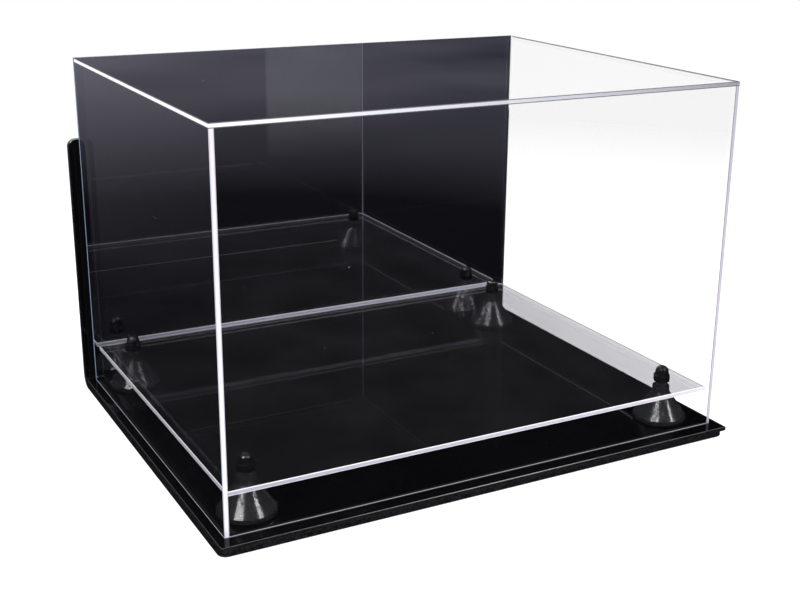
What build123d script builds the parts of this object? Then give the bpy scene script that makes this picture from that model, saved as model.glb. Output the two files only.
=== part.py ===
"""Mirror-backed acrylic display case on a heat-bent wall bracket, one STEP file for each piece.

Millimetres, +X to the right, +Y towards the wall and +Z up. The origin is the bottom centre
of the whole assembly, on the underside of the bracket's leg.
"""

import os

from build123d import *

INCH = 25.4

# Cover, outside sizes, and the sheet it is made from.
COVER_WIDTH = 15.0 * INCH
COVER_DEPTH = 11.5 * INCH
COVER_HEIGHT = 10.0 * INCH
SHEET = INCH / 8
MIRROR_COATING = 0.2
EDGE_BREAK = 0.4

# Base plate under the cover. The cover stands near its rear edge.
BASE_WIDTH = 15.5 * INCH
BASE_DEPTH = 12.0 * INCH
REAR_LEDGE = INCH / 16

# Wall bracket, one sheet bent to an L: a leg under the base plate and an upright behind it.
BRACKET_SHEET = 3 * INCH / 16
BEND_INNER_RADIUS = 5.5
BRACKET_HEIGHT = 200.0
BRACKET_CORNER_RADIUS = 6.0
LEG_SETBACK = 1.8
BASE_TO_BEND_GAP = 0.3
WALL_HOLE_DIAMETER = 5.5
WALL_HOLE_SPACING_X = 12.0 * INCH
WALL_HOLE_SPACING_Z = 5.0 * INCH
WALL_HOLE_CENTRE_HEIGHT = 115.0

# Clear platform on four cone risers. The rear risers' feet almost reach the mirror.
PLATFORM_GAP = 0.5
PLATFORM_EDGE_BREAK = 0.3
RISER_INSET = 1.0 * INCH
RISER_SETBACK = 2.4
RISER_HEIGHT = 1.0 * INCH
RISER_FOOT_DIAMETER = 39.0
RISER_RIM_HEIGHT = 2.8
RISER_NECK_DIAMETER = 12.7
RISER_CONE_TOP = 21.0
RISER_RIM_ROUND = 0.7
RISER_NECK_ROUND = 3.0
RISER_BORE_DIAMETER = 6.8

# Quarter-inch screws, heads up from below, with acorn cap nuts above the platform.
SCREW_DIAMETER = INCH / 4
SCREW_HOLE_DIAMETER = 7.1
SCREW_HEAD_DIAMETER = 12.5
SCREW_HEAD_THICKNESS = 1.4
SCREW_TIP_CHAMFER = 0.6
SCREW_THREAD_IN_NUT = 7.5
SLOT_WIDTH = 1.2
SLOT_DEPTH = 0.7
COUNTERBORE_DIAMETER = 13.2
COUNTERBORE_DEPTH = 1.6
NUT_ACROSS_FLATS = 7 * INCH / 16
NUT_HEX_HEIGHT = 5.6
NUT_CHAMFER_DROP = 0.8
NUT_FACE_INSET = 0.1
NUT_DOME_DIAMETER = 10.0
NUT_HEIGHT = 12.2
NUT_BORE_CLEARANCE = 0.05
NUT_BORE_DEPTH = 8.3

# Heights of the stack.
LEG_TOP = BRACKET_SHEET
BASE_TOP = LEG_TOP + SHEET
PLATFORM_UNDERSIDE = BASE_TOP + RISER_HEIGHT
PLATFORM_TOP = PLATFORM_UNDERSIDE + SHEET
WALL_HEIGHT = COVER_HEIGHT - SHEET

# Places along Y, from the base plate's front edge back to the wall, centred on the origin.
BEND_DEPTH = BASE_TO_BEND_GAP + BEND_INNER_RADIUS + BRACKET_SHEET
BASE_FRONT = -(BASE_DEPTH + BEND_DEPTH) / 2
BASE_BACK = BASE_FRONT + BASE_DEPTH
WALL_FACE = BASE_BACK + BEND_DEPTH
UPRIGHT_FRONT = WALL_FACE - BRACKET_SHEET
LEG_FRONT = BASE_FRONT + LEG_SETBACK
COVER_BACK = BASE_BACK - REAR_LEDGE
COVER_FRONT = COVER_BACK - COVER_DEPTH
COVER_CENTRE = (COVER_FRONT + COVER_BACK) / 2
MIRROR_FRONT = COVER_BACK - SHEET
WALL_DEPTH = MIRROR_FRONT - COVER_FRONT
WALL_CENTRE = (COVER_FRONT + MIRROR_FRONT) / 2

# How far a cut runs past the surface it cuts, and how closely lengths are told apart.
OVERCUT = 0.1

STANDING = (Align.CENTER, Align.CENTER, Align.MIN)
CORNERS = {
    "front_left": (-1, -1),
    "front_right": (1, -1),
    "back_left": (-1, 1),
    "back_right": (1, 1),
}


def riser_place(sides):
    """X and Y of a riser's axis."""
    return (
        sides[0] * (COVER_WIDTH / 2 - RISER_INSET),
        COVER_CENTRE + RISER_SETBACK + sides[1] * (COVER_DEPTH / 2 - RISER_INSET),
    )


def riser_places():
    return [riser_place(sides) for sides in CORNERS.values()]


def block(width, depth, height, x=0.0, y=0.0, z=0.0):
    """A box that stands on height z, centred on x and y."""
    return Pos(x, y, z) * Box(width, depth, height, align=STANDING)


def drill(part, diameter, bottom, depth):
    """The part with a round hole at each riser's axis, from bottom upwards."""
    for x, y in riser_places():
        part -= Pos(x, y, bottom) * Cylinder(diameter / 2, depth, align=STANDING)
    return part


def edges_at(part, axis, value):
    """Edges that lie wholly in the plane where axis has the value."""
    return part.edges().filter_by_position(axis, value, value)


def wall_bracket():
    width = BASE_WIDTH
    leg = block(width, WALL_FACE - LEG_FRONT, BRACKET_SHEET, y=(WALL_FACE + LEG_FRONT) / 2)
    upright = block(width, BRACKET_SHEET, BRACKET_HEIGHT, y=WALL_FACE - BRACKET_SHEET / 2)
    bent = leg + upright
    along = bent.edges().filter_by(Axis.X)
    inner = along.filter_by_position(Axis.Y, UPRIGHT_FRONT, UPRIGHT_FRONT)
    bent = fillet(inner.filter_by_position(Axis.Z, LEG_TOP, LEG_TOP), BEND_INNER_RADIUS)
    along = bent.edges().filter_by(Axis.X)
    heel = along.filter_by_position(Axis.Y, WALL_FACE, WALL_FACE)
    heel = heel.filter_by_position(Axis.Z, 0, 0)
    bent = fillet(heel, BEND_INNER_RADIUS + BRACKET_SHEET)
    front_corners = bent.edges().filter_by(Axis.Z).filter_by_position(Axis.Y, LEG_FRONT, LEG_FRONT)
    bent = fillet(front_corners, BRACKET_CORNER_RADIUS)
    across = bent.edges().filter_by(Axis.Y)
    top_corners = across.filter_by_position(Axis.Z, BRACKET_HEIGHT, BRACKET_HEIGHT)
    bent = fillet(top_corners, BRACKET_CORNER_RADIUS)
    shortest = BRACKET_SHEET + OVERCUT
    longest = width - OVERCUT
    rim = bent.edges().filter_by(lambda edge: shortest < edge.length < longest)
    bent = chamfer(rim, EDGE_BREAK)
    for side_x in (-0.5, 0.5):
        for side_z in (-0.5, 0.5):
            hole = Rot(90, 0, 0) * Cylinder(WALL_HOLE_DIAMETER / 2, 2 * BEND_DEPTH)
            x = side_x * WALL_HOLE_SPACING_X
            z = WALL_HOLE_CENTRE_HEIGHT + side_z * WALL_HOLE_SPACING_Z
            bent -= Pos(x, WALL_FACE, z) * hole
    return bent


def base_plate():
    plate = block(BASE_WIDTH, BASE_DEPTH, SHEET, y=(BASE_FRONT + BASE_BACK) / 2, z=LEG_TOP)
    rim = edges_at(plate, Axis.Z, BASE_TOP) + edges_at(plate, Axis.Z, LEG_TOP)
    plate = chamfer(rim, EDGE_BREAK)
    plate = drill(plate, SCREW_HOLE_DIAMETER, LEG_TOP, SHEET)
    return drill(plate, COUNTERBORE_DIAMETER, LEG_TOP, COUNTERBORE_DEPTH)


def platform_plate():
    gap = SHEET + PLATFORM_GAP
    plate = block(
        COVER_WIDTH - 2 * gap,
        COVER_DEPTH - 2 * gap,
        SHEET,
        y=COVER_CENTRE,
        z=PLATFORM_UNDERSIDE,
    )
    rim = edges_at(plate, Axis.Z, PLATFORM_TOP) + edges_at(plate, Axis.Z, PLATFORM_UNDERSIDE)
    plate = chamfer(rim, PLATFORM_EDGE_BREAK)
    return drill(plate, SCREW_HOLE_DIAMETER, PLATFORM_UNDERSIDE, SHEET)


def cone_riser(x, y):
    foot = RISER_FOOT_DIAMETER / 2
    neck = RISER_NECK_DIAMETER / 2
    outline = Polyline(
        (0, 0),
        (foot, 0),
        (foot, RISER_RIM_HEIGHT),
        (neck, RISER_CONE_TOP),
        (neck, RISER_HEIGHT),
        (0, RISER_HEIGHT),
        close=True,
    )
    section = make_face(Plane.XZ * outline)
    cone = revolve(section, axis=Axis.Z)
    circles = cone.edges().filter_by(GeomType.CIRCLE)
    rim = circles.filter_by_position(Axis.Z, RISER_RIM_HEIGHT, RISER_RIM_HEIGHT)
    cone = fillet(rim, RISER_RIM_ROUND)
    circles = cone.edges().filter_by(GeomType.CIRCLE)
    waist = circles.filter_by_position(Axis.Z, RISER_CONE_TOP, RISER_CONE_TOP)
    cone = fillet(waist, RISER_NECK_ROUND)
    cone -= Cylinder(RISER_BORE_DIAMETER / 2, RISER_HEIGHT, align=STANDING)
    return Pos(x, y, BASE_TOP) * cone


def riser_screw(x, y):
    head_bottom = LEG_TOP + COUNTERBORE_DEPTH - SCREW_HEAD_THICKNESS
    shank_bottom = LEG_TOP + COUNTERBORE_DEPTH
    length = PLATFORM_TOP + SCREW_THREAD_IN_NUT - shank_bottom
    head = Cylinder(SCREW_HEAD_DIAMETER / 2, SCREW_HEAD_THICKNESS, align=STANDING)
    head -= Box(SCREW_HEAD_DIAMETER, SLOT_WIDTH, 2 * SLOT_DEPTH)
    shank = Cylinder(SCREW_DIAMETER / 2, length, align=STANDING)
    shank = chamfer(edges_at(shank, Axis.Z, length), SCREW_TIP_CHAMFER)
    screw = head + Pos(0, 0, SCREW_HEAD_THICKNESS) * shank
    return Pos(x, y, head_bottom) * screw


def cap_nut(x, y):
    corner_radius = NUT_ACROSS_FLATS / 3**0.5
    hexagon = extrude(RegularPolygon(NUT_ACROSS_FLATS / 2, 6, major_radius=False), NUT_HEX_HEIGHT)
    face_radius = NUT_ACROSS_FLATS / 2 - NUT_FACE_INSET
    beyond = corner_radius + OVERCUT
    turned = Polyline(
        (0, 0),
        (face_radius, 0),
        (beyond, NUT_CHAMFER_DROP),
        (beyond, NUT_HEX_HEIGHT - NUT_CHAMFER_DROP),
        (face_radius, NUT_HEX_HEIGHT),
        (0, NUT_HEX_HEIGHT),
        close=True,
    )
    hexagon &= revolve(make_face(Plane.XZ * turned), axis=Axis.Z)
    dome_radius = NUT_DOME_DIAMETER / 2
    dome_start = NUT_HEIGHT - dome_radius
    collar = Cylinder(dome_radius, dome_start, align=STANDING)
    nut = hexagon + collar + Pos(0, 0, dome_start) * Sphere(dome_radius)
    nut -= Cylinder(SCREW_DIAMETER / 2 + NUT_BORE_CLEARANCE, NUT_BORE_DEPTH, align=STANDING)
    return Pos(x, y, PLATFORM_TOP) * nut


def side_panel(side):
    """A side wall runs from the cover's front to the mirror, outside the front wall."""
    x = side * (COVER_WIDTH - SHEET) / 2
    panel = block(SHEET, WALL_DEPTH, WALL_HEIGHT, x=x, y=WALL_CENTRE, z=BASE_TOP)
    outer_x = side * COVER_WIDTH / 2
    uprights = panel.edges().filter_by(Axis.Z)
    in_front = uprights.filter_by_position(Axis.Y, COVER_FRONT, COVER_FRONT)
    return chamfer(in_front.filter_by_position(Axis.X, outer_x, outer_x), EDGE_BREAK)


def front_panel():
    """The front wall fits between the side walls."""
    y = COVER_FRONT + SHEET / 2
    return block(COVER_WIDTH - 2 * SHEET, SHEET, WALL_HEIGHT, y=y, z=BASE_TOP)


def top_panel():
    """The top lies on the front and side walls and ends at the mirror."""
    underside = BASE_TOP + WALL_HEIGHT
    panel = block(COVER_WIDTH, WALL_DEPTH, SHEET, y=WALL_CENTRE, z=underside)
    upper = edges_at(panel, Axis.Z, underside + SHEET)
    at_mirror = upper.filter_by_position(Axis.Y, MIRROR_FRONT, MIRROR_FRONT)
    return chamfer(upper - at_mirror, EDGE_BREAK)


def mirror_panel():
    """The clear front layer of the mirrored sheet, which closes the whole rear of the cover."""
    thickness = SHEET - MIRROR_COATING
    return block(COVER_WIDTH, thickness, COVER_HEIGHT, y=MIRROR_FRONT + thickness / 2, z=BASE_TOP)


def mirror_backing():
    """The reflective film and its protective paint, on the rear of the mirrored sheet."""
    y = COVER_BACK - MIRROR_COATING / 2
    return block(COVER_WIDTH, MIRROR_COATING, COVER_HEIGHT, y=y, z=BASE_TOP)


def build_parts():
    parts = {
        "wall_bracket": wall_bracket(),
        "base_plate": base_plate(),
        "platform_plate": platform_plate(),
        "cover_front_panel": front_panel(),
        "cover_left_panel": side_panel(-1),
        "cover_right_panel": side_panel(1),
        "cover_top_panel": top_panel(),
        "mirror_panel": mirror_panel(),
        "mirror_backing": mirror_backing(),
    }
    for corner, sides in CORNERS.items():
        x, y = riser_place(sides)
        parts[f"riser_{corner}"] = cone_riser(x, y)
        parts[f"screw_{corner}"] = riser_screw(x, y)
        parts[f"cap_nut_{corner}"] = cap_nut(x, y)
    return parts


os.makedirs("parts", exist_ok=True)
for name, part in build_parts().items():
    export_step(part, f"parts/{name}.step")
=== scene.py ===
"""The looks of the acrylic display case: materials, floor, light and camera.

Everything is in metres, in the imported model's frame. The shapes are the CAD nodes'
own; this script gives each of them its material and sets the studio round them.
"""

import math

import bmesh
import bpy
from mathutils import Matrix, Vector


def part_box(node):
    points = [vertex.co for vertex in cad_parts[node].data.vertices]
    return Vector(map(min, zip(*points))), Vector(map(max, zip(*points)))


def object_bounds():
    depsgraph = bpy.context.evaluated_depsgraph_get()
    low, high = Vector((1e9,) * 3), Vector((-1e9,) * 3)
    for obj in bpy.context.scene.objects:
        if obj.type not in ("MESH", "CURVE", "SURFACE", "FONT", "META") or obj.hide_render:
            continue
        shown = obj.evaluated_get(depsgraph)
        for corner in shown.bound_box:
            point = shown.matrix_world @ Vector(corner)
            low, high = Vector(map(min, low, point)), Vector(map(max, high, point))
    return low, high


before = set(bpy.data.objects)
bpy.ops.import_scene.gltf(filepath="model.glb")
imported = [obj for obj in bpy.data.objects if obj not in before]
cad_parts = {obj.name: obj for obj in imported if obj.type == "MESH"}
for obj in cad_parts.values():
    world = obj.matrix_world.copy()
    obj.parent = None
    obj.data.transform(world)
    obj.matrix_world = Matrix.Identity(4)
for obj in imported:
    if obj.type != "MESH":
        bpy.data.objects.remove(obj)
cad_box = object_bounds()

X, Y, Z = 0, 1, 2
MM = 0.001

# The camera: its place from the middle of the cover's foot, and how it is turned.
CAMERA_OFFSET = Vector((-0.4199, -0.8031, 0.3806))
CAMERA_TURN = math.radians(29.28)
CAMERA_DROP = math.radians(18.17)
CAMERA_ROLL = math.radians(0.878)
CAMERA_LENS = 57.16
CAMERA_SHIFT = (-0.0366, -0.0016)

# Acrylic sheet: what it mirrors head on, the height of the painted bright line under a wall, how far in
# from the sheet's outline an edge may lie, and how squarely a face has to face a side to count.
HEAD_ON_MIRRORING = 0.039
PAINTED_FOOT_LINE = 0.5 * MM
EDGE_REACH = 1.0 * MM
FACES = 0.3

# Milky edges: the share of a painted glow that stands for light piped to them through the sheet, their
# gloss, and the share of what lies behind that shows through them.
EDGE_GLOW_SHARE = 0.14
EDGE_GLOSS = 0.1
EDGE_CLEAR = 0.08
# The colour of the dust specks and haze on the clear faces, painted as a glow.
DUST_AND_HAZE_GLOW = (0.62, 0.62, 0.68)

# Black acrylic and black plastic.
ACRYLIC_IOR = 1.49
PLASTIC_IOR = 1.5
# How strongly a painted highlight lies on the base plate's broken arrises.
ARRIS_HIGHLIGHT = 0.07
EDGE_ZONE = 10 * MM

# The sides of a sheet that show as edges. The others are glued to a neighbour.
FRONT, BACK, LEFT, RIGHT, UP = (Y, -1), (Y, 1), (X, -1), (X, 1), (Z, 1)

# What the glossy surfaces see: a dim studio under a bright ceiling.
STUDIO_WALLS = (0.004, 0.004, 0.005)
STUDIO_NEAR = (0.004, 0.004, 0.006)
STUDIO_LOW = (0.03, 0.031, 0.044)
STUDIO_HIGH = (0.145, 0.139, 0.17)
STUDIO_GROWS = (0.45, 1.9)
CEILING = (0.32, 0.32, 0.335)
CEILING_RISES = (0.56, 0.85)

# The pale floor, whose glow grows outwards until it is as white as the surround.
FLOOR_RADIUS = 8.0
FLOOR_GAP = 0.1 * MM
FLOOR_MELTS = (0.35, 1.3)

# The softboxes stand so high and far off that the base plate doesn't show them.
SOFTBOX_DISTANCE = 5.0
OVERHEAD_DISTANCE = 1.6

WHITE = (1.0, 1.0, 1.0)
SMOKY = (0.8, 0.795, 0.815)
FAINT = (0.975, 0.975, 0.977)


class Tree:
    """Builds one node tree. Each call adds a node and returns one of its outputs."""

    def __init__(self, tree):
        self.tree = tree
        tree.nodes.clear()

    def add(self, kind, inputs=None, output=0, **settings):
        """A shader node with its inputs, by name or number, and its own settings."""
        node = self.tree.nodes.new("ShaderNode" + kind)
        for name, value in settings.items():
            setattr(node, name, value)
        for key, value in (inputs or {}).items():
            self.feed(node.inputs[key], value)
        return node.outputs[output]

    def feed(self, socket, value):
        if isinstance(value, bpy.types.NodeSocket):
            self.tree.links.new(value, socket)
        else:
            socket.default_value = value

    def math(self, operation, a, b=0.0):
        return self.add("Math", {0: a, 1: b}, operation=operation)

    def vector(self, operation, a, b):
        return self.add("VectorMath", {0: a, 1: b}, operation=operation)

    def axes(self, vector):
        parts = self.add("SeparateXYZ", {0: vector}).node
        return [parts.outputs[axis] for axis in (X, Y, Z)]

    def ramp(self, value, start, end, low=0.0, high=1.0):
        """low up to start, high from end on, and straight between them."""
        return self.add(
            "MapRange",
            {"Value": value, "From Min": start, "From Max": end, "To Min": low, "To Max": high},
        )

    def colour(self, factor, a, b, **settings):
        """a where the factor is 0, and b where it is 1. A Mix node's colours are inputs 6 and 7."""
        ends = {0: factor, 6: opaque(a), 7: opaque(b)}
        return self.add("Mix", ends, output=2, data_type="RGBA", **settings)

    def blend(self, factor, a, b):
        """The same for two numbers, inputs 2 and 3."""
        return self.add("Mix", {0: factor, 2: a, 3: b}, data_type="FLOAT")

    def shader(self, factor, a, b):
        return self.add("MixShader", {0: factor, 1: a, 2: b})

    def place(self):
        return self.add("TexCoord", output="Object")

    def normal(self):
        return self.axes(self.add("NewGeometry", output="Normal"))

    def within(self):
        """1 where the surface is seen from inside its solid."""
        return self.add("NewGeometry", output="Backfacing")

    def noise(self, place, scale, detail=2.0, roughness=0.5):
        inputs = {"Vector": place, "Scale": scale, "Detail": detail, "Roughness": roughness}
        return self.add("TexNoise", inputs)

    def specks(self, place, pitch, size):
        """1 inside sparse round dots of about that size, and 0 elsewhere."""
        cells = self.add("TexVoronoi", {"Vector": place, "Scale": 1 / pitch}).node
        distance = self.math("MULTIPLY", cells.outputs["Distance"], pitch)
        chance = self.axes(cells.outputs["Color"])[X]
        radius = self.ramp(chance, 0.7, 1.0, 0.0, size / 2)
        return self.math("LESS_THAN", distance, radius)

    def scratches(self, place, lengthwise, sharpness=0.66):
        """Thin streaks: a noise stretched along one direction, with only its crests left."""
        stretch = [900.0, 900.0, 900.0]
        stretch[lengthwise] = 14.0
        crest = self.noise(self.vector("MULTIPLY", place, stretch), 1.0, 1.0)
        return self.ramp(crest, sharpness, sharpness + 0.08)

    def finish(self, surface, output="OutputMaterial"):
        node = self.tree.nodes.new("ShaderNode" + output)
        self.tree.links.new(surface, node.inputs["Surface"])


def opaque(colour):
    """The colour with its alpha, unless it is a socket."""
    return colour if isinstance(colour, bpy.types.NodeSocket) else (*colour, 1.0)


def material(name):
    made = bpy.data.materials.new(name)
    made.use_nodes = True
    made.cycles.emission_sampling = "NONE"
    return made, Tree(made.node_tree)


def wear(node, made):
    """Puts the material in every slot of the CAD node."""
    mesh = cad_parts[node].data
    for slot in range(len(mesh.materials)):
        mesh.materials[slot] = made


def mirroring(tree):
    """How much of a ray an acrylic surface mirrors, from either side of it."""
    facing = tree.add("LayerWeight", {"Blend": 0.5}, output="Facing")
    steep = tree.math("POWER", facing, 5.0)
    return tree.ramp(steep, 0.0, 1.0, HEAD_ON_MIRRORING, 1.0)


def sheet_places(tree, node, thin, run):
    """The ways across the sheet's thickness and along its run, each from 0 to 1."""
    low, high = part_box(node)
    place = tree.axes(tree.place())
    return [tree.ramp(place[axis], low[axis], high[axis]) for axis in (thin, run)]


def open_rim(tree, node, sides, within):
    """1 on the sheet's edges that face one of the given sides, each an axis and a way.

    Seen from within the sheet, a face's normal comes turned about.
    """
    normal = tree.normal()
    place = tree.axes(tree.place())
    outward = tree.ramp(within, 0.0, 1.0, 1.0, -1.0)
    found = 0.0
    for axis, way in sides:
        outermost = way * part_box(node)[max(way, 0)][axis]
        faced = tree.math("MULTIPLY", tree.math("MULTIPLY", normal[axis], outward), way)
        facing = tree.math("GREATER_THAN", faced, FACES)
        reach = tree.math("MULTIPLY", place[axis], way)
        near = tree.math("GREATER_THAN", reach, outermost - EDGE_REACH)
        found = tree.math("MAXIMUM", found, tree.math("MULTIPLY", facing, near))
    return found


def edge_body(tree, across, along, painted_tones, painted_arris, seed):
    """The milky look of a polished edge in painted light and shade: tones painted lighter or darker along
    its run, a painted light or dark line along each arris, and a share of painted glow.
    """
    place = tree.vector("ADD", tree.place(), (seed, seed, seed))
    wander = tree.ramp(tree.noise(place, 38.0, 2.0), 0.35, 0.65)
    cast = tree.colour(wander, (0.84, 0.87, 1.0), (1.0, 0.9, 0.96))
    # Painted light and shade: the edge is lighter or darker along the run.
    tone = tree.colour(along, *painted_tones)
    core = tree.colour(0.7, tone, cast, blend_type="MULTIPLY")
    from_middle = tree.math("ABSOLUTE", tree.math("SUBTRACT", across, 0.5))
    # A painted light or dark line along each arris.
    profile = tree.colour(tree.ramp(from_middle, 0.28, 0.38), core, painted_arris)
    # A share of the edge glows by itself: painted light standing for light piped through the sheet.
    painted_glow = tree.add("Emission", {"Color": profile, "Strength": 0.7})
    return tree.shader(EDGE_GLOW_SHARE, tree.add("BsdfDiffuse", {"Color": profile}), painted_glow)


def clear_sheet(
    node, thin, run, sides, painted_tones, painted_arris, tint=WHITE, sheen=1.0, haze=0.0, foot=0.0, seed=0.0
):
    """Clear sheet, thin along one axis, with milky edges whose tone changes along run.

    The sides are those whose edges show. sheen scales its mirroring, and haze is a glow painted over its
    faces.
    Where a wall stands on the base plate, a painted bright line of the height foot lies along its foot.
    """
    made, tree = material("clear_" + node)
    place = tree.place()
    low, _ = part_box(node)
    across, along = sheet_places(tree, node, thin, run)
    within = tree.within()

    smear = tree.noise(place, 22.0, 3.0)
    roughness = tree.ramp(smear, 0.4, 0.75, 0.004, 0.02)
    gloss = tree.add("BsdfAnisotropic", {"Color": opaque(WHITE), "Roughness": roughness})
    clear = tree.add("BsdfTransparent", {"Color": opaque(tint)})
    face = tree.shader(tree.math("MULTIPLY", mirroring(tree), sheen), clear, gloss)

    # Dust specks and a haze, both painted as a glow that shines whether lit or not.
    dust = tree.math("MULTIPLY", tree.specks(place, 15 * MM, 0.8 * MM), 0.6)
    dust_and_haze_share = tree.math("ADD", dust, tree.ramp(smear, 0.3, 0.7, 0.5 * haze, haze))
    dust_and_haze_glow = tree.add("Emission", {"Color": opaque(DUST_AND_HAZE_GLOW), "Strength": 1.0})
    face = tree.shader(dust_and_haze_share, face, dust_and_haze_glow)

    # An edge on the far side shows only as the painted line along its outer arris.
    milky = tree.shader(EDGE_GLOSS, edge_body(tree, across, along, painted_tones, painted_arris, seed), gloss)
    far_side = tree.math("MULTIPLY", within, tree.ramp(across, 0.6, 0.75, 0.92, 0.05))
    edge = tree.shader(tree.math("MAXIMUM", far_side, EDGE_CLEAR), milky, clear)
    rim = open_rim(tree, node, sides, within)
    # A painted bright line along a wall's foot, standing for light reflected in its bottom face.
    if foot:
        line = tree.math("LESS_THAN", tree.axes(place)[Z], low[Z] + foot)
        line = tree.math("MULTIPLY", line, tree.math("SUBTRACT", 1.0, within))
        rim = tree.math("MAXIMUM", rim, line)
    tree.finish(tree.shader(rim, face, edge))
    wear(node, made)


def mirror_film(node):
    """Silvered film whose front mirrors, and whose back is covered with grey paint.

    Its front lies on the clear sheet's back, and a ray may meet either first. So the inside
    of the film's back mirrors too, and its front lets that light out again.
    """
    made, tree = material("silvered_film")
    place = tree.place()
    sway = tree.noise(place, 5.0, 1.0)
    bump = tree.add("Bump", {"Strength": 0.04, "Distance": 0.4 * MM, "Height": sway})
    haze = tree.ramp(tree.noise(place, 14.0, 4.0), 0.45, 0.8, 0.002, 0.02)
    silver = tree.add(
        "BsdfAnisotropic", {"Color": (0.87, 0.88, 0.91, 1.0), "Roughness": haze, "Normal": bump}
    )
    grain = tree.noise(place, 900.0, 3.0)
    paint_bump = tree.add("Bump", {"Strength": 0.25, "Distance": 0.05 * MM, "Height": grain})
    paint_tone = tree.colour(tree.noise(place, 30.0, 4.0), (0.16, 0.165, 0.175), (0.22, 0.225, 0.235))
    paint = tree.add(
        "BsdfPrincipled", {"Base Color": paint_tone, "Roughness": 0.55, "Normal": paint_bump}
    )
    within = tree.within()
    rearward = tree.math("GREATER_THAN", tree.normal()[Y], 0.0)
    rear = tree.math("ABSOLUTE", tree.math("SUBTRACT", rearward, within))
    gap = tree.add("BsdfTransparent")
    front = tree.shader(within, silver, gap)
    back = tree.shader(within, paint, silver)
    tree.finish(tree.shader(rear, front, back))
    wear(node, made)


def black_sheet(node, edges, seed=0.0):
    """Black acrylic: glossy faces with fine rubs and dust, satin sawn edges, and a painted highlight where
    edges() says they catch the light.
    """
    made, tree = material("black_" + node)
    place = tree.vector("ADD", tree.place(), (seed, seed, seed))
    edge, lit = edges(tree)
    rub = tree.math("MAXIMUM", tree.scratches(place, X, 0.7), tree.scratches(place, Y, 0.72))
    smear = tree.ramp(tree.noise(place, 16.0, 4.0), 0.4, 0.75, 0.03, 0.085)
    satin = tree.ramp(tree.noise(place, 700.0, 2.0), 0.3, 0.7, 0.12, 0.24)
    dust = tree.specks(place, 11 * MM, 0.7 * MM)
    face_roughness = tree.math("ADD", smear, tree.math("MULTIPLY", rub, 0.12))
    roughness = tree.blend(edge, face_roughness, satin)
    depth = tree.colour(tree.noise(place, 8.0, 3.0), (0.0008, 0.0008, 0.001), (0.002, 0.002, 0.0022))
    sawing = tree.noise(place, 620.0, 2.0)
    sawn = tree.colour(tree.ramp(sawing, 0.35, 0.65), (0.002, 0.002, 0.0025), (0.012, 0.011, 0.013))
    tone = tree.colour(edge, depth, sawn)
    # A mottled light grey painted where lit is set: a painted highlight.
    painted_highlight = tree.colour(tree.noise(place, 260.0, 3.0), (0.16, 0.16, 0.17), (0.42, 0.42, 0.43))
    tone = tree.colour(lit, tone, painted_highlight)
    tone = tree.colour(tree.math("MULTIPLY", dust, 0.35), tone, (0.3, 0.3, 0.31))
    marks = tree.noise(tree.vector("MULTIPLY", place, (900.0, 900.0, 60.0)), 1.0, 2.0)
    bump = tree.add(
        "Bump", {"Strength": tree.math("MULTIPLY", edge, 0.3), "Distance": 0.06 * MM, "Height": marks}
    )
    surface = tree.add(
        "BsdfPrincipled", {"Base Color": tone, "Roughness": roughness, "IOR": ACRYLIC_IOR, "Normal": bump}
    )
    tree.finish(surface)
    wear(node, made)


def base_edges(tree):
    """1 on the base plate's four sides, and how strongly a highlight is painted on its broken arrises."""
    rise = tree.math("ABSOLUTE", tree.normal()[Z])
    side = tree.math("LESS_THAN", rise, 0.9)
    broken = tree.math("MULTIPLY", side, tree.math("GREATER_THAN", rise, FACES))
    return side, tree.math("MULTIPLY", broken, ARRIS_HIGHLIGHT)


def bracket_edges(tree):
    """1 on the bent sheet's cut edges, and how strongly a highlight is painted on its top edge, more where
    it faces up.
    """
    low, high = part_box("wall_bracket")
    normal = tree.normal()
    place = tree.axes(tree.place())
    ends = tree.math("GREATER_THAN", tree.math("ABSOLUTE", normal[X]), FACES)
    up = tree.math("GREATER_THAN", normal[Z], FACES)
    top = tree.math("MULTIPLY", up, tree.math("GREATER_THAN", place[Z], high[Z] - EDGE_ZONE))
    ahead = tree.math("LESS_THAN", normal[Y], -FACES)
    front = tree.math("MULTIPLY", ahead, tree.math("LESS_THAN", place[Y], low[Y] + EDGE_ZONE))
    edge = tree.math("MAXIMUM", ends, tree.math("MAXIMUM", top, front))
    return edge, tree.math("MULTIPLY", top, tree.ramp(normal[Z], 0.6, 1.0, 0.1, 0.9))


def moulded(name, start, tone, roughnesses, grain, grain_depth):
    """Black moulded plastic: a little flow mottling, a fine skin and lightly rubbed gloss.

    It goes on every CAD node whose name has that start.
    """
    made, tree = material(name)
    place = tree.place()
    flow = tree.noise(tree.vector("MULTIPLY", place, (90.0, 90.0, 300.0)), 1.0, 3.0)
    colour = tree.colour(flow, tuple(0.7 * part for part in tone), tone)
    dust = tree.specks(place, 4 * MM, 0.25 * MM)
    colour = tree.colour(tree.math("MULTIPLY", dust, 0.3), colour, (0.3, 0.3, 0.3))
    roughness = tree.ramp(tree.noise(place, 240.0, 3.0), 0.35, 0.7, *roughnesses)
    skin = tree.noise(place, grain, 2.0)
    bump = tree.add("Bump", {"Strength": 0.3, "Distance": grain_depth, "Height": skin})
    surface = tree.add(
        "BsdfPrincipled", {"Base Color": colour, "Roughness": roughness, "IOR": PLASTIC_IOR, "Normal": bump}
    )
    tree.finish(surface)
    for node in sorted(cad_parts):
        if node.startswith(start):
            wear(node, made)


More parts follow.
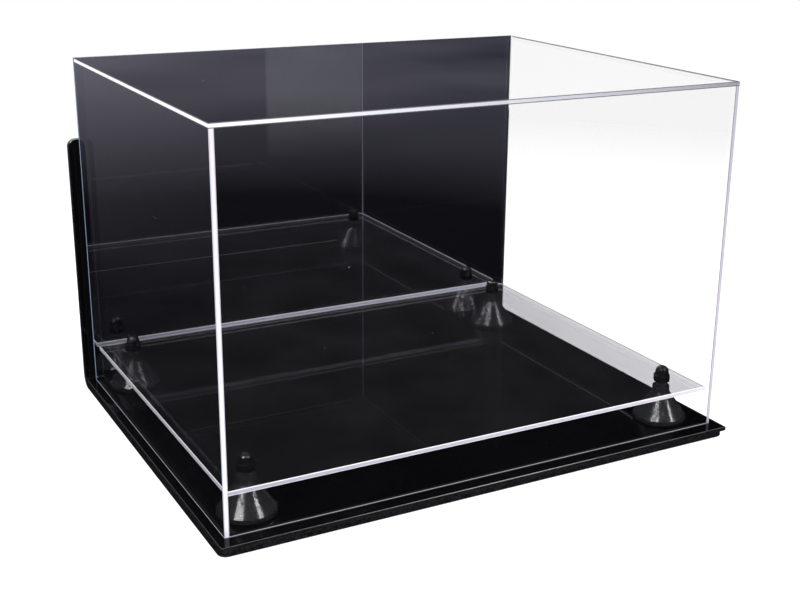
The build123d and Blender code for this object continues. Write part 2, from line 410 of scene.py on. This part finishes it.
def dress():
    """Gives every CAD node its material."""
    bright, pale, lilac = (0.97, 0.97, 0.98), (0.8, 0.79, 0.86), (0.52, 0.51, 0.6)
    grey, smoke = (0.42, 0.41, 0.47), (0.24, 0.235, 0.28)
    line, slate, dark = (0.1, 0.1, 0.115), (0.2, 0.26, 0.36), (0.035, 0.04, 0.05)
    foot = PAINTED_FOOT_LINE
    near = (FRONT,)
    lid = (FRONT, LEFT, RIGHT)
    back = (UP, LEFT, RIGHT)
    rim = (FRONT, BACK, LEFT, RIGHT)
    # The edge tones and arris lines are painted light and shade: each sheet's edges are painted lighter or
    # darker along their run, with a light or dark line along each arris, as they look from one side.
    clear_sheet("cover_front_panel", Y, X, (), (pale, pale), lilac, FAINT, sheen=0.5, foot=foot, seed=1.0)
    clear_sheet("cover_left_panel", X, Z, near, (bright, pale), lilac, foot=foot, seed=2.0)
    clear_sheet("cover_right_panel", X, Z, near, (lilac, grey), line, sheen=0.15, seed=3.0)
    clear_sheet("cover_top_panel", Z, X, lid, (bright, smoke), line, sheen=0.05, seed=4.0)
    clear_sheet("mirror_panel", Y, X, back, (slate, dark), dark, sheen=0.6, seed=5.0)
    clear_sheet("platform_plate", Z, X, rim, (lilac, pale), bright, SMOKY, haze=0.01, seed=6.0)
    mirror_film("mirror_backing")
    black_sheet("base_plate", base_edges, seed=7.0)
    black_sheet("wall_bracket", bracket_edges, seed=8.0)
    moulded("riser_plastic", "riser", (0.016, 0.016, 0.017), (0.12, 0.18), 2600.0, 0.001 * MM)
    moulded("nut_plastic", "cap_nut", (0.006, 0.006, 0.0065), (0.03, 0.05), 3000.0, 0.001 * MM)
    moulded("screw_nylon", "screw", (0.02, 0.02, 0.021), (0.32, 0.45), 1800.0, 0.03 * MM)


def mirrored_path(tree):
    """1 for rays that have met a glossy surface on their way, such as the mirror."""
    bounces = tree.add("LightPath", output="Glossy Depth")
    return tree.math("GREATER_THAN", bounces, 0.5)


def studio_tone(tree, place):
    """The dim studio that the mirror shows: bluish charcoal in soft blotches, lighter to the left."""
    blotches = tree.ramp(tree.noise(place, 2.2, 1.5), 0.35, 0.7)
    leftward = tree.ramp(tree.axes(place)[X], 0.2, 1.2, 1.3, 0.0)
    return tree.colour(tree.blend(0.65, blotches, leftward), STUDIO_LOW, STUDIO_HIGH)


def make_world():
    """White to the camera and the diffuse light, and the dim studio to the glossy surfaces."""
    world = bpy.data.worlds.new("studio")
    bpy.context.scene.world = world
    world.use_nodes = True
    world.cycles.sampling_method = "NONE"
    tree = Tree(world.node_tree)
    way = tree.add("TexCoord", output="Generated")
    ceiling = tree.ramp(tree.axes(way)[Z], *CEILING_RISES)
    dim = tree.colour(ceiling, STUDIO_WALLS, CEILING)
    seen = tree.colour(mirrored_path(tree), WHITE, dim)
    tree.finish(tree.add("Background", {"Color": seen, "Strength": 1.0}), "OutputWorld")


def make_floor(low):
    """A round pale floor that melts into the white surround, dim to the glossy surfaces."""
    mesh = bpy.data.meshes.new("floor")
    shape = bmesh.new()
    bmesh.ops.create_circle(shape, cap_ends=True, segments=96, radius=FLOOR_RADIUS)
    shape.to_mesh(mesh)
    shape.free()
    floor = bpy.data.objects.new("floor", mesh)
    floor.location = (0.0, 0.0, low[Z] - FLOOR_GAP)
    bpy.context.scene.collection.objects.link(floor)

    made, tree = material("pale_floor")
    place = tree.place()
    grain = tree.colour(tree.noise(place, 120.0, 4.0), (0.9, 0.9, 0.905), (0.93, 0.93, 0.93))
    paper = tree.add("BsdfDiffuse", {"Color": grain})
    glow = tree.add("Emission", {"Color": opaque(WHITE), "Strength": 1.0})
    away = tree.add("VectorMath", {0: place}, output="Value", operation="LENGTH")
    pale = tree.shader(tree.ramp(away, *FLOOR_MELTS, 0.45, 1.0), paper, glow)
    distant = tree.ramp(away, *STUDIO_GROWS)
    ahead = tree.colour(distant, STUDIO_NEAR, studio_tone(tree, place))
    spots = tree.axes(place)
    behind = tree.math("MULTIPLY", tree.ramp(spots[Y], 0.3, 0.7), tree.ramp(spots[X], -0.15, 0.15))
    dim = tree.add("Emission", {"Color": tree.colour(behind, ahead, WHITE), "Strength": 1.0})
    tree.finish(tree.shader(mirrored_path(tree), pale, dim))
    mesh.materials.append(made)


def softbox(name, place, target, width, height, radiance):
    """A rectangle light of that radiance, which faces the target and isn't seen by the camera."""
    lamp = bpy.data.lights.new(name, "AREA")
    lamp.shape = "RECTANGLE"
    lamp.size, lamp.size_y = width, height
    lamp.energy = radiance * math.pi * width * height
    lamp.use_shadow = False
    holder = bpy.data.objects.new(name, lamp)
    holder.location = place
    holder.rotation_euler = (target - place).to_track_quat("-Z", "Y").to_euler()
    holder.visible_camera = False
    bpy.context.scene.collection.objects.link(holder)
    return holder


def around(middle, distance, compass, height):
    """The point at that distance, compass angle from +Y towards +X, and angle above the floor."""
    turn, rise = math.radians(compass), math.radians(height)
    flat = distance * math.cos(rise)
    return middle + Vector((flat * math.sin(turn), flat * math.cos(turn), distance * math.sin(rise)))


def make_lights(middle):
    """Two softboxes in front for the streaks on the cones, one behind for the domes, one above."""
    far = SOFTBOX_DISTANCE
    softbox("left_softbox", around(middle, far, 238, 46), middle, 2.4, 1.7, 14.0)
    softbox("right_softbox", around(middle, far, 143, 42), middle, 1.5, 1.2, 16.0)
    softbox("rear_softbox", around(middle, far, 350, 50), middle, 1.8, 0.5, 16.0)
    above = softbox("overhead", around(middle, OVERHEAD_DISTANCE, 0, 90), middle, 1.6, 1.6, 0.5)
    above.visible_glossy = False


def make_camera(middle):
    """Builds the camera's own axes from its turn, drop and roll, and puts it in its place."""
    ahead = Vector(
        (
            math.sin(CAMERA_TURN) * math.cos(CAMERA_DROP),
            math.cos(CAMERA_TURN) * math.cos(CAMERA_DROP),
            -math.sin(CAMERA_DROP),
        )
    )
    level = ahead.cross(Vector((0.0, 0.0, 1.0))).normalized()
    right = math.cos(CAMERA_ROLL) * level + math.sin(CAMERA_ROLL) * level.cross(ahead)
    up = right.cross(ahead)
    lens = bpy.data.cameras.new("camera")
    lens.lens = CAMERA_LENS
    lens.shift_x, lens.shift_y = CAMERA_SHIFT
    lens.clip_start, lens.clip_end = 0.01, 4 * FLOOR_RADIUS
    camera = bpy.data.objects.new("camera", lens)
    turn = Matrix((right, up, -ahead)).transposed().to_4x4()
    camera.matrix_world = Matrix.Translation(middle + CAMERA_OFFSET) @ turn
    bpy.context.scene.collection.objects.link(camera)
    bpy.context.scene.camera = camera


def cover_foot():
    """Middle of the rectangle on which the cover stands."""
    low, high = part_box("cover_left_panel")
    return Vector((0.0, (low[Y] + high[Y]) / 2, low[Z]))


dress()
make_world()
make_floor(cad_box[0])
make_lights(cover_foot())
make_camera(cover_foot())

scene = bpy.context.scene
scene.view_settings.view_transform = "Standard"
scene.cycles.transparent_max_bounces = 32
scene.cycles.max_bounces = 8
scene.cycles.diffuse_bounces = 2
